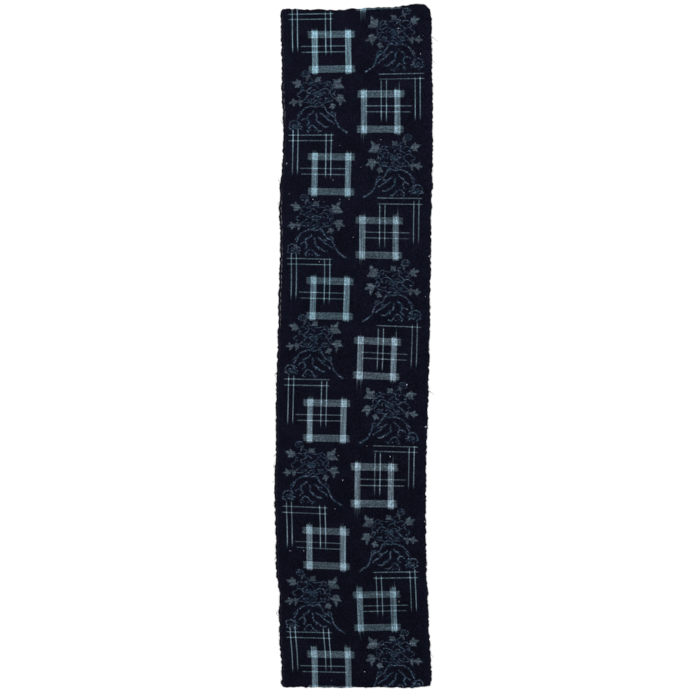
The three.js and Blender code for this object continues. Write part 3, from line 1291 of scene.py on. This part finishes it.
class Strands:
    """Gathers thin round strands into one mesh."""

    def __init__(self):
        self.vertices = []
        self.faces = []

    def add(self, points, width, tip=0.35, sides=5):
        """One strand through these points, in millimetres, narrower at its far end."""
        points = [Vector(point) for point in points]
        first = len(self.vertices)
        last = len(points) - 1
        for number, point in enumerate(points):
            way = (points[min(number + 1, last)] - points[max(number - 1, 0)]).normalized()
            across = way.cross(Vector((0, 0, 1)))
            across = across.normalized() if across.length > 0.01 else Vector((1, 0, 0))
            up = across.cross(way)
            radius = width / 2 * (1 - (1 - tip) * number / last)
            for step in range(sides):
                angle = 2 * math.pi * step / sides
                spot = point + (across * math.cos(angle) + up * math.sin(angle)) * radius
                self.vertices.append(spot * MM)
        for number in range(last):
            a = first + number * sides
            for step in range(sides):
                following = (step + 1) % sides
                self.faces.append((a + step, a + following, a + sides + following, a + sides + step))
        self.faces.append(tuple(first + step for step in reversed(range(sides))))
        self.faces.append(tuple(first + last * sides + step for step in range(sides)))

    def mesh(self, name):
        return smooth_mesh(name, [tuple(vertex) for vertex in self.vertices], self.faces)


def curve_points(points, steps):
    """Points on the parabola through three points."""
    start, middle, end = (np.array(point, float) for point in points)
    control = 2 * middle - (start + end) / 2
    shares = np.linspace(0, 1, steps + 1)[:, None]
    return (1 - shares) ** 2 * start + 2 * shares * (1 - shares) * control + shares ** 2 * end


class Face:
    """Where the cloth's upper layer is, for what lies on it or grows out of it."""

    def __init__(self, points):
        shift = centre_shift(points)
        self.x = points["x"] + shift[0]
        self.y = points["y"] + shift[1]
        self.top = points["z"] + points["half"]
        self.middle = points["z"]

    def height(self, x, y):
        """The height of the mesh point nearest to x, y."""
        away = (self.x - x) ** 2 + (self.y - y) ** 2
        return self.top.ravel()[away.argmin()]

    def selvedge(self, side, y):
        """A point on the selvedge at this height up the cloth."""
        column = 0 if side < 0 else -1
        row = np.abs(self.y[:, column] - y).argmin()
        return self.x[row, column], self.middle[row, column]

    def rim(self):
        """Points all round the rim, with the way out of the cloth at each."""
        rows, columns = self.x.shape
        down = range(FUZZ["corner"], rows - FUZZ["corner"])
        over = range(FUZZ["corner"], columns - FUZZ["corner"])
        around = [(row, 0, (-1, 0)) for row in down]
        around += [(row, columns - 1, (1, 0)) for row in down]
        around += [(0, column, (0, -1)) for column in over]
        around += [(rows - 1, column, (0, 1)) for column in over]
        return around


def lint_mesh(face):
    """Short bent strands of lint that lie on the face."""
    strands = Strands()
    rng = np.random.default_rng(7)
    for x, y, length, direction, tone in LINT + TUFTS:
        angle = math.radians(direction)
        for _ in range(1 + round(tone * LINT_STRANDS)):
            turn = angle + rng.normal(0, 0.5)
            way = np.array([math.cos(turn), math.sin(turn)])
            side = np.array([-way[1], way[0]])
            middle = np.array([x, y]) + rng.normal(0, 0.25, 2) * length / 2
            reach = way * length / 2
            spots = [middle - reach, middle + side * rng.normal(0, 0.35), middle + reach]
            base = face.height(x, y) + LINT_WIDTH * 0.3
            points = [(*spot, base + rng.uniform(0, 0.3)) for spot in curve_points(spots, 4)]
            strands.add(points, LINT_WIDTH * rng.uniform(0.6, 1.1), tip=0.5, sides=4)
    return strands.mesh("lint")


def thread_mesh(face):
    """Loose yarn ends past the selvedges, and the fuzz of all four edges."""
    strands = Strands()
    rng = np.random.default_rng(FUZZ["seed"])
    for side, spots in LOOSE_ENDS:
        path = []
        for number, (outside, y) in enumerate(spots):
            x, height = face.selvedge(side, y)
            path.append((x + side * outside, y, max(height * (1 - number * 0.4), LOOSE_WIDTH / 2)))
        strands.add(curve_points(path, 10), LOOSE_WIDTH)
    around = face.rim()
    for number in rng.integers(0, len(around), FUZZ["count"]):
        row, column, way = around[number]
        length = rng.uniform(FUZZ["shortest"], FUZZ["longest"])
        along = np.array([-way[1], way[0]]) * rng.normal(0, 0.6)
        start = np.array([face.x[row, column], face.y[row, column]]) - np.array(way) * 0.5
        height = face.middle[row, column]
        points = [(*start, height)]
        for share in (0.5, 1.0):
            spot = start + (np.array(way) + along) * length * share + rng.normal(0, 0.15, 2)
            points.append((*spot, max(height + rng.normal(0, 0.2), FUZZ["width"] / 2)))
        strands.add(points, FUZZ["width"], tip=0.4, sides=3)
    return strands.mesh("loose_threads")


def fibre_material(name, base, spread, scale):
    """Matt cotton fibre whose colour varies from strand to strand."""
    material, shader = new_material(name)
    tree = material.node_tree
    place = tree.nodes.new("ShaderNodeTexCoord")
    feeds = {"Vector": Wire(tree, place.outputs["Object"]), "Scale": scale, "Detail": 2.0}
    patchy = made_by("ShaderNodeTexNoise", {"noise_dimensions": "3D"}, feeds, "Fac")
    dark = tuple(c * (1 - spread) for c in base)
    light = tuple(c * (1 + spread) for c in base)
    feed(tree, shader.inputs["Base Color"], mixed(ease(patchy, 0.35, 0.65), colour(dark), colour(light)))
    feed(tree, shader.inputs["Roughness"], ease(patchy, 0.2, 0.8, 0.85, 0.97))
    shader.inputs["Specular IOR Level"].default_value = 0.06
    return material


# Building the pieces

def linked(name, mesh, material):
    piece = bpy.data.objects.new(name, mesh)
    bpy.context.scene.collection.objects.link(piece)
    mesh.materials.append(material)
    return piece


points = cloth_points()
face = Face(points)
lint_fibre = fibre_material("lint_fibre", LINT_FIBRE, spread=0.3, scale=90.0)
indigo_fibre = fibre_material("indigo_fibre", INDIGO_FIBRE, spread=0.5, scale=60.0)
lint = linked("lint", lint_mesh(face), lint_fibre)
threads = linked("loose_threads", thread_mesh(face), indigo_fibre)
cloth = linked("ikat_cloth", cloth_mesh(points), cloth_material())
for piece in (cloth, lint, threads):
    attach(piece, "root")
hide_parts("cloth")


# Floor, light and camera

FLOOR_REACH = 12.0
FLOOR_DROP = 0.0003
LAMPS = [
    # name, place, size, power
    ("key", (-2.2, 1.8, 3.4), 2.6, 95),
    ("fill", (2.4, -1.6, 3.0), 3.0, 60),
]
WORLD_STRENGTH = 0.62


def plain_material(name, value, roughness):
    material, shader = new_material(name)
    shader.inputs["Base Color"].default_value = (value, value, value, 1)
    shader.inputs["Roughness"].default_value = roughness
    shader.inputs["Specular IOR Level"].default_value = 0.1
    return material


def add_floor():
    mesh = bpy.data.meshes.new("floor")
    corners = [(x * FLOOR_REACH, y * FLOOR_REACH, 0) for x, y in ((-1, -1), (1, -1), (1, 1), (-1, 1))]
    mesh.from_pydata(corners, [], [(0, 1, 2, 3)])
    floor = linked("floor", mesh, plain_material("pale_floor", 0.9, 0.9))
    floor.location.z = -FLOOR_DROP


def add_lamp(name, place, size, power):
    lamp = bpy.data.lights.new(name, "AREA")
    lamp.shape = "DISK"
    lamp.size = size
    lamp.energy = power
    holder = bpy.data.objects.new(name, lamp)
    bpy.context.scene.collection.objects.link(holder)
    holder.location = place
    holder.rotation_euler = (-Vector(place)).to_track_quat("-Z", "Y").to_euler()
    holder.visible_camera = False


def add_world():
    world = bpy.data.worlds.new("studio")
    world.use_nodes = True
    background = world.node_tree.nodes["Background"]
    background.inputs["Color"].default_value = (1, 1, 1, 1)
    background.inputs["Strength"].default_value = WORLD_STRENGTH
    bpy.context.scene.world = world


# The camera looks straight down. The picture's square shows this much of the surface, and its middle is a
# little left of and below the cloth's middle.
PICTURE_SIDE = 1529.5
PICTURE_MIDDLE = (-7.9, -8.5)
CAMERA_HEIGHT = 5.2
SENSOR = 36.0


def add_camera():
    data = bpy.data.cameras.new("camera")
    data.sensor_width = SENSOR
    data.lens = SENSOR * CAMERA_HEIGHT / (PICTURE_SIDE * MM)
    camera = bpy.data.objects.new("camera", data)
    bpy.context.scene.collection.objects.link(camera)
    camera.location = (PICTURE_MIDDLE[0] * MM, PICTURE_MIDDLE[1] * MM, CAMERA_HEIGHT)
    bpy.context.scene.camera = camera


add_floor()
for lamp in LAMPS:
    add_lamp(*lamp)
add_world()
add_camera()
bpy.context.scene.view_settings.view_transform = "Standard"
